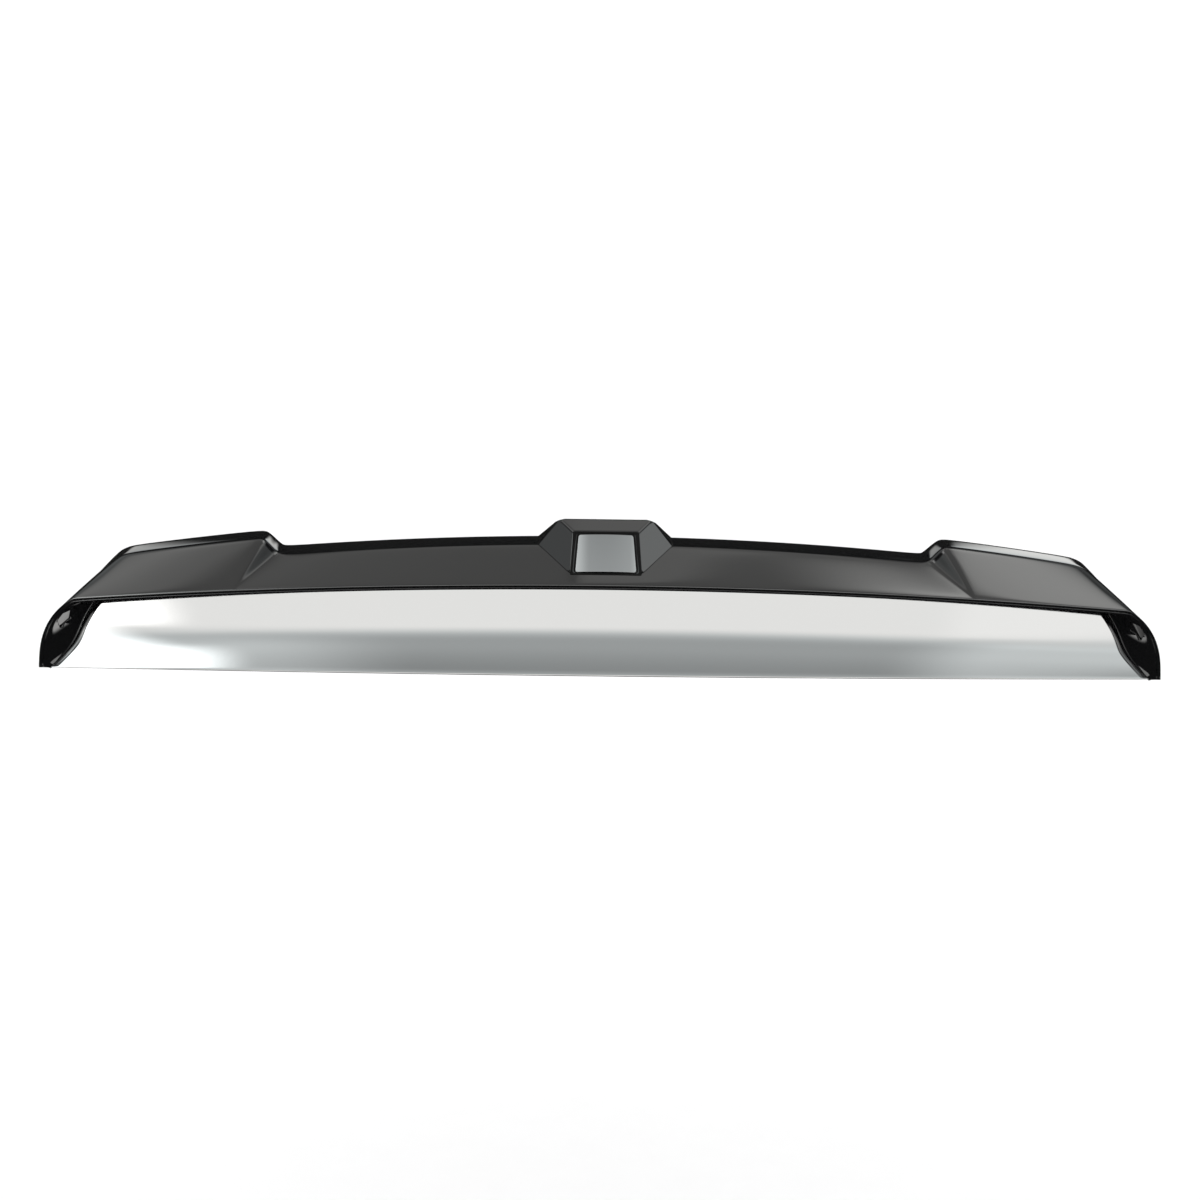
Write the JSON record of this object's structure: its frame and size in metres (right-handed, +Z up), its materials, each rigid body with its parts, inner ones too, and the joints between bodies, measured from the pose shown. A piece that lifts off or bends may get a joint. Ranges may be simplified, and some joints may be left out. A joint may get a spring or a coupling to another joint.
{
  "type": "roof spoiler",
  "caption": "Wide tailgate roof spoiler in gloss black with raised wings, a faceted pod with a window in the middle, and a recessed wall and skirt.",
  "frame": {"origin": "under the middle of the part's box, at the level of its lowest edge", "axes": "+X across the car, +Y forward over the roof, +Z up; the rear edge and the window face -Y"},
  "size_m": [1.24, 0.217, 0.1733],
  "materials": {
    "shell_black": "high gloss black",
    "smoked_window": "smoked, polished",
    "black_rubber": "matt",
    "foam": "closed-cell foam, matt",
    "zinc_steel": "zinc plated",
    "natural_nylon": "natural"
  },
  "bodies": {
    "root": {"upper_shell": "shell_black", "lower_shell": "shell_black", "pod_window": "smoked_window", "window_gasket": "black_rubber", "mount_studs": "zinc_steel", "foam_washers": "foam", "retaining_clips": "natural_nylon", "front_seal": "black_rubber"}
  },
  "joints": []
}
